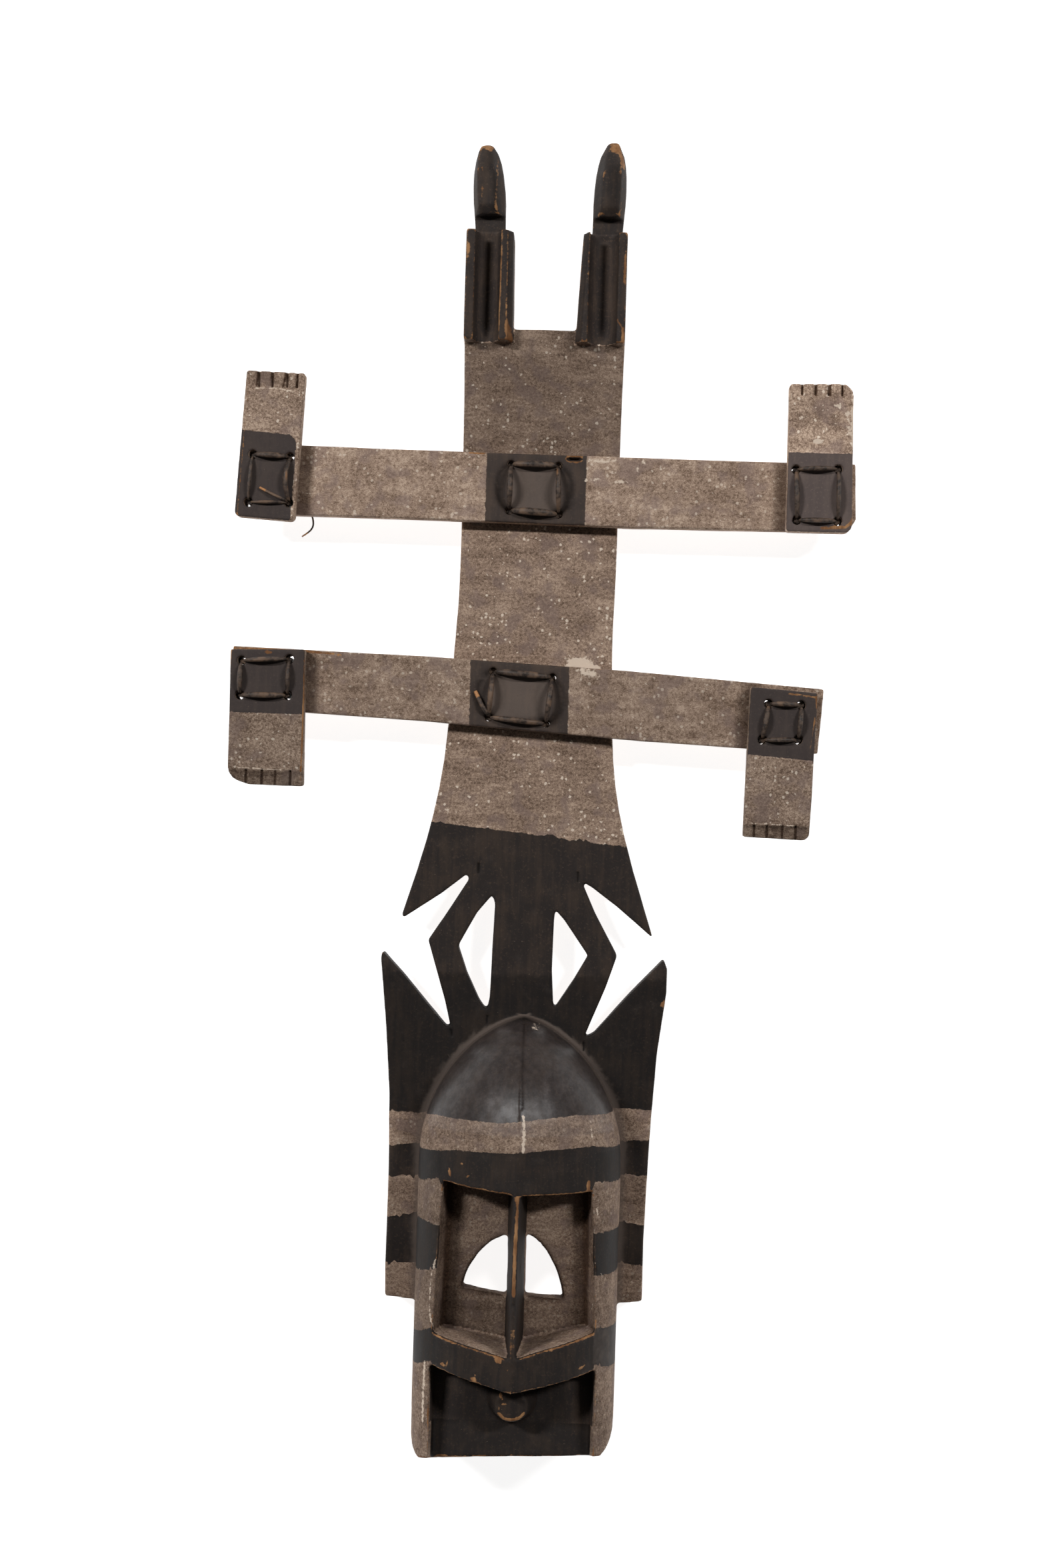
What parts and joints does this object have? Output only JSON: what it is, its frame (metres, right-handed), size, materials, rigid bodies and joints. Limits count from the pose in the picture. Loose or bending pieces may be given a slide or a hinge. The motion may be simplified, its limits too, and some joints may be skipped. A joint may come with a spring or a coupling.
{
  "type": "kanaga mask",
  "caption": "Carved wooden face mask under a long openwork plank that ends in horns, with crossbars and hands tied on by thongs; the box behind is hollow for the wearer's face.",
  "frame": {"origin": "under the middle of the mask's bounding box, on the surface it lies on, back down", "axes": "+Z out of the mask's front, +Y from the chin to the horns, +X to the right of someone looking at its front"},
  "size_m": [0.5263, 1.1124, 0.1514],
  "materials": {
    "painted_wood": "matte",
    "thong_leather": "satin"
  },
  "bodies": {
    "root": {"mask_and_plank": "painted_wood", "upper_crossbar": "painted_wood", "lower_crossbar": "painted_wood", "upper_left_hand": "painted_wood", "upper_right_hand": "painted_wood", "lower_left_hand": "painted_wood", "lower_right_hand": "painted_wood", "upper_bar_lashing": "thong_leather", "lower_bar_lashing": "thong_leather", "upper_left_lashing": "thong_leather", "upper_right_lashing": "thong_leather", "lower_left_lashing": "thong_leather", "lower_right_lashing": "thong_leather"}
  },
  "joints": []
}
